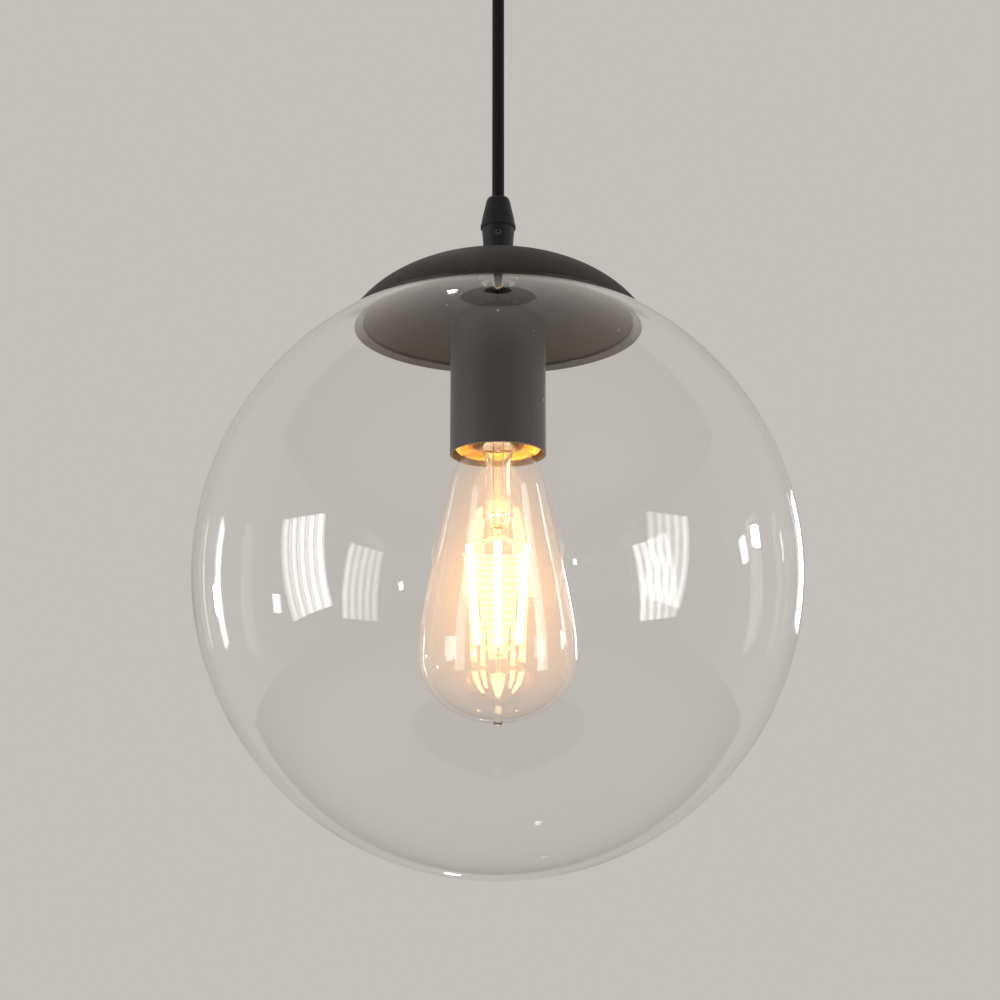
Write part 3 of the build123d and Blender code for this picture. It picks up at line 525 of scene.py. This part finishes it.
# %% Geometry Nodes: copies of one leaning rod, turned about the axis
def ring_tree(name):
    """Tree with named inputs for the rod's two ends, its thickness, the count and the material."""
    tree = bpy.data.node_groups.new(name, "GeometryNodeTree")
    face = tree.interface
    for label, kind in (("Count", "NodeSocketInt"), ("Start", "NodeSocketVector"),
                        ("End", "NodeSocketVector"), ("Width", "NodeSocketFloat"),
                        ("Depth", "NodeSocketFloat"), ("First Turn", "NodeSocketFloat"),
                        ("Finish", "NodeSocketMaterial")):
        face.new_socket(label, in_out="INPUT", socket_type=kind)
    face.new_socket("Geometry", in_out="OUTPUT", socket_type="NodeSocketGeometry")
    given, out = tree.nodes.new("NodeGroupInput"), tree.nodes.new("NodeGroupOutput")

    def add(kind, **settings):
        node = tree.nodes.new(kind)
        for label, value in settings.items():
            setattr(node, label, value)
        return node

    line = add("GeometryNodeCurvePrimitiveLine")
    tree.links.new(given.outputs["Start"], line.inputs["Start"])
    tree.links.new(given.outputs["End"], line.inputs["End"])
    shape = add("GeometryNodeCurvePrimitiveCircle")
    shape.inputs["Resolution"].default_value = 16
    shape.inputs["Radius"].default_value = 1.0
    flatten = add("GeometryNodeTransform")
    join = add("ShaderNodeCombineXYZ")
    tree.links.new(given.outputs["Width"], join.inputs["X"])
    tree.links.new(given.outputs["Depth"], join.inputs["Y"])
    join.inputs["Z"].default_value = 1.0
    tree.links.new(shape.outputs["Curve"], flatten.inputs["Geometry"])
    tree.links.new(join.outputs["Vector"], flatten.inputs["Scale"])
    rod = add("GeometryNodeCurveToMesh")
    rod.inputs["Fill Caps"].default_value = True
    tree.links.new(line.outputs["Curve"], rod.inputs["Curve"])
    tree.links.new(flatten.outputs["Geometry"], rod.inputs["Profile Curve"])
    spots = add("GeometryNodeMeshLine")
    spots.inputs["Offset"].default_value = (0, 0, 0)
    tree.links.new(given.outputs["Count"], spots.inputs["Count"])
    index = add("GeometryNodeInputIndex")
    share = add("ShaderNodeMath", operation="DIVIDE")
    tree.links.new(index.outputs["Index"], share.inputs[0])
    tree.links.new(given.outputs["Count"], share.inputs[1])
    whole = add("ShaderNodeMath", operation="MULTIPLY_ADD")
    tree.links.new(share.outputs[0], whole.inputs[0])
    whole.inputs[1].default_value = 2 * math.pi
    tree.links.new(given.outputs["First Turn"], whole.inputs[2])
    angle = add("ShaderNodeCombineXYZ")
    tree.links.new(whole.outputs[0], angle.inputs["Z"])
    copies = add("GeometryNodeInstanceOnPoints")
    tree.links.new(spots.outputs["Mesh"], copies.inputs["Points"])
    tree.links.new(rod.outputs["Mesh"], copies.inputs["Instance"])
    tree.links.new(angle.outputs["Vector"], copies.inputs["Rotation"])
    real = add("GeometryNodeRealizeInstances")
    tree.links.new(copies.outputs["Instances"], real.inputs["Geometry"])
    paint = add("GeometryNodeSetMaterial")
    tree.links.new(real.outputs["Geometry"], paint.inputs["Geometry"])
    tree.links.new(given.outputs["Finish"], paint.inputs["Material"])
    tree.links.new(paint.outputs["Geometry"], out.inputs["Geometry"])
    return tree


RING = ring_tree("leaning_rods_in_a_ring")


def grow(name, tree, **values):
    """Run a Geometry Nodes tree once and keep its result as a plain mesh."""
    host = bpy.data.objects.new(name + "_host", bpy.data.meshes.new(name + "_host"))
    bpy.context.collection.objects.link(host)
    maker = host.modifiers.new("make", "NODES")
    maker.node_group = tree
    for item in tree.interface.items_tree:
        if item.item_type == "SOCKET" and item.in_out == "INPUT" and item.name in values:
            maker[item.identifier] = values[item.name]
    host.update_tag()
    ready = host.evaluated_get(bpy.context.evaluated_depsgraph_get())
    mesh = bpy.data.meshes.new_from_object(ready)
    bpy.data.objects.remove(host)
    mesh.name = name
    piece = bpy.data.objects.new(name, mesh)
    bpy.context.collection.objects.link(piece)
    return piece


# %% The lit phosphor
def lit_phosphor():
    """Warm phosphor that glows, a little dimmer between its chips."""
    material = bpy.data.materials.new("lit_phosphor")
    material.use_nodes = True
    tree = material.node_tree
    shader = tree.nodes["Principled BSDF"]
    place = tree.nodes.new("ShaderNodeTexCoord").outputs["Object"]
    chips = tree.nodes.new("ShaderNodeTexWave")
    chips.bands_direction = "Z"
    chips.inputs["Scale"].default_value = 110.0
    chips.inputs["Distortion"].default_value = 0.6
    tree.links.new(place, chips.inputs["Vector"])
    glow = tree.nodes.new("ShaderNodeMix")
    glow.data_type = "RGBA"
    glow.inputs["A"].default_value = (1.0, 0.52, 0.10, 1)
    glow.inputs["B"].default_value = (1.0, 0.78, 0.36, 1)
    tree.links.new(chips.outputs["Fac"], glow.inputs["Factor"])
    tree.links.new(glow.outputs["Result"], shader.inputs["Emission Color"])
    tree.links.new(glow.outputs["Result"], shader.inputs["Base Color"])
    shader.inputs["Emission Strength"].default_value = 22.0
    tree.links.new(remap(tree, chips.outputs["Fac"], 0.0, 1.0, 0.5, 0.7), shader.inputs["Roughness"])
    relief = tree.nodes.new("ShaderNodeBump")
    relief.inputs["Distance"].default_value = 0.1 * MM
    tree.links.new(chips.outputs["Fac"], relief.inputs["Height"])
    tree.links.new(relief.outputs["Normal"], shader.inputs["Normal"])
    return material


PHOSPHOR = lit_phosphor()
STEEL = FINISHES["steel_zinc"]
FILAMENTS = 6
FILAMENT_R = 1.4
WIRE_R = 0.3


def at(radius, height):
    """Point on the +X side of the bulb's axis, from millimetres about the globe's centre."""
    return Vector((radius * MM, 0, GLOBE_Z + height * MM))


def ring_of(name, start, end, thick, material):
    """One rod for each filament, from start to end, thick millimetres in radius."""
    return grow(name, RING, Count=FILAMENTS, Start=start, End=end, Width=thick * MM, Depth=thick * MM,
                **{"First Turn": math.pi / FILAMENTS, "Finish": material})


top, low = at(13.6, 10.0), at(9.8, -29.0)
hanger, anchor = at(0.0, 16.0), at(0.0, -35.0)
strips = ring_of("filament_strips", top, low, FILAMENT_R, PHOSPHOR)
finish_piece(strips, None, "bulb", "filament", "bulb_filaments")

# %% Support wires
hangers = ring_of("filament_hangers", hanger, top, WIRE_R, STEEL)
anchors = ring_of("filament_anchors", anchor, low, WIRE_R, STEEL)
finish_piece(hangers, None, "bulb", "steel_zinc", "bulb_filament_supports")
finish_piece(anchors, None, "bulb", "steel_zinc")

# %% [markdown]
# ## The cord
# The cord hangs dead straight under the lamp's weight, from the bell mouth of the ceiling grip
# to the gland. A NURBS spline with a round bevel is the plain way to draw it.

# %% Draw the cord
line = bpy.data.curves.new("pendant_cord", "CURVE")
line.dimensions = "3D"
line.bevel_depth = CORD_R
line.bevel_resolution = 8
line.use_fill_caps = True
spline = line.splines.new("NURBS")
stops = [GLAND_TOP - 4 * MM, (GLAND_TOP + PIVOT_Z) / 2, PIVOT_Z]
spline.points.add(len(stops) - 1)
for point, height in zip(spline.points, stops):
    point.co = (0, 0, height, 1)
spline.order_u = 3
spline.use_endpoint_u = True
cord = bpy.data.objects.new("pendant_cord", line)
bpy.context.collection.objects.link(cord)
cord.data.materials.append(FINISHES["cord_black"])
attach(cord, "hanging_lamp")
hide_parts("hanging_cord", "cord_bend")
print("cord length", round(stops[-1] - stops[0], 4), "m")

# %% [markdown]
# ## Light, floor and camera
# The room is soft and pale: a wide sky that is darker behind the viewer, two tall windows at the
# sides and a few small lamps for the glass to reflect, and a pale floor far below. Each window
# is a row of upright strips, so that its reflection is finely striped. The lamp itself adds a
# warm glow from inside the bulb.

# %% The soft room
world = bpy.data.worlds.new("soft_room")
bpy.context.scene.world = world
world.use_nodes = True
sky = world.node_tree
background = sky.nodes["Background"]
direction = sky.nodes.new("ShaderNodeTexCoord").outputs["Generated"]
parts = sky.nodes.new("ShaderNodeSeparateXYZ")
sky.links.new(direction, parts.inputs["Vector"])
shade = sky.nodes.new("ShaderNodeMix")
shade.data_type = "RGBA"
shade.inputs["A"].default_value = (0.33, 0.318, 0.305, 1)
shade.inputs["B"].default_value = (0.545, 0.520, 0.490, 1)
sky.links.new(remap(sky, parts.outputs["Y"], -0.3, 0.55, 0.0, 1.0), shade.inputs["Factor"])
sky.links.new(shade.outputs["Result"], background.inputs["Color"])
background.inputs["Strength"].default_value = 1.0

# %% Floor
FLOOR_HALF = 3.0
FLOOR_Z = -1.6
floor_mesh = bpy.data.meshes.new("pale_floor")
corners = [(side_x * FLOOR_HALF, side_y * FLOOR_HALF, FLOOR_Z)
           for side_x, side_y in ((-1, -1), (1, -1), (1, 1), (-1, 1))]
floor_mesh.from_pydata(corners, [], [(0, 1, 2, 3)])
floor = bpy.data.objects.new("pale_floor", floor_mesh)
bpy.context.collection.objects.link(floor)
floor_mesh.materials.append(finish("pale_floor_paint", (0.62, 0.60, 0.57), (0.66, 0.64, 0.61), (0.5, 0.6)))


# %% Lamps of the studio
def panel(name, direction, distance, width, height, power):
    """Soft rectangular light that faces the globe."""
    lamp = bpy.data.lights.new(name, "AREA")
    lamp.shape = "RECTANGLE"
    lamp.size, lamp.size_y = width, height
    lamp.energy = power
    holder = bpy.data.objects.new(name, lamp)
    bpy.context.collection.objects.link(holder)
    away = Vector(direction).normalized()
    holder.location = Vector((0, 0, GLOBE_Z)) + away * distance
    holder.rotation_euler = away.to_track_quat("Z", "Y").to_euler()
    return holder


WINDOW_AWAY = 2.0
WINDOW_LIFT = -0.03
STRIP_GAP = 0.03


def window(name, turn, width, height, powers):
    """Tall window made of upright strips, one for each power, from its far edge to its near edge.
    turn is in degrees about the globe from the viewer's side, positive to the right."""
    strip_width = width / len(powers)
    side = math.copysign(1, turn)
    for strip, power in enumerate(powers):
        across = (strip - (len(powers) - 1) / 2) * strip_width / WINDOW_AWAY
        angle = math.radians(turn) - side * across
        panel(f"{name}_{strip}", (math.sin(angle), -math.cos(angle), WINDOW_LIFT), WINDOW_AWAY,
              strip_width - STRIP_GAP, height, power)


window("window_left", -71.8, 0.66, 0.98, (1.3, 1.6, 1.9, 2.1, 2.3))
window("window_right", 61.0, 0.60, 0.95, (1.3, 1.1, 1.0, 0.9, 0.8))

# Each small lamp: name, direction from the globe, distance, width, height, power.
SMALL_LAMPS = [
    ("spot_left", (-0.835, 0.54, 0.035), 2.2, 0.16, 0.2, 3),
    ("spot_right", (0.947, 0.25, 0.19), 2.2, 0.14, 0.18, 3),
    ("spot_above", (-0.13, 0.42, 0.90), 2.0, 0.05, 0.035, 0.3),
    ("spot_front", (-0.546, -0.80, -0.247), 2.0, 0.045, 0.09, 0.35),
    ("spot_low", (-0.077, 0.947, -0.309), 2.4, 0.06, 0.03, 0.2),
    ("strip_right", (0.46, 0.86, 0.20), 2.4, 0.22, 0.5, 2),
]
for row in SMALL_LAMPS:
    panel(*row)

# Light for the solid pieces alone: the glass doesn't reflect it.
fill = panel("fill_left", (-0.9, -0.4, 0.1), 2.0, 0.9, 0.9, 8)
fill.visible_camera = fill.visible_glossy = fill.visible_transmission = False
print("lamps:", len(bpy.data.lights))

# %% [markdown]
# The lamp hangs on a short cord here, so the ceiling cup would mirror in the top of the glass as
# a big black disc. Only the small grip below it is left for glossy rays to find.

# %% Keep the near ceiling cup out of the reflections
SEEN_IN_GLASS = ("cord_grip_body", "cable_tail")
for node in frame["record"]["behaviour"]["bodies"]["ceiling_fitting"]:
    frame["nodes"][node].visible_glossy = node in SEEN_IN_GLASS

# %% The bulb's own glow
glow = bpy.data.lights.new("filament_glow", "POINT")
glow.energy = 1.1
glow.color = (1.0, 0.6, 0.2)
glow.shadow_soft_size = 0.012
glow_holder = bpy.data.objects.new("filament_glow", glow)
glow_holder.location = (0, 0, GLOBE_Z - 0.005)
bpy.context.collection.objects.link(glow_holder)
glow_holder.visible_camera = False
glow_holder.visible_glossy = False
glow_holder.visible_transmission = False

# %% Camera
# The lens and its place give the view from just below the lamp, looking a little upwards.
CAMERA_BACK = 0.7368
CAMERA_DROP = 0.1552
CAMERA_RIGHT = 0.0008
TILT = 14.168
SENSOR_MM = 36.0
LENS_MM = 65.66
lens = bpy.data.cameras.new("camera")
lens.sensor_width = SENSOR_MM
lens.lens = LENS_MM
camera = bpy.data.objects.new("camera", lens)
bpy.context.collection.objects.link(camera)
camera.location = (CAMERA_RIGHT, -CAMERA_BACK, GLOBE_Z - CAMERA_DROP)
camera.rotation_euler = (math.radians(90 + TILT), 0, 0)
bpy.context.scene.camera = camera
bpy.context.scene.view_settings.view_transform = "Standard"
print("camera at", tuple(round(v, 3) for v in camera.location))
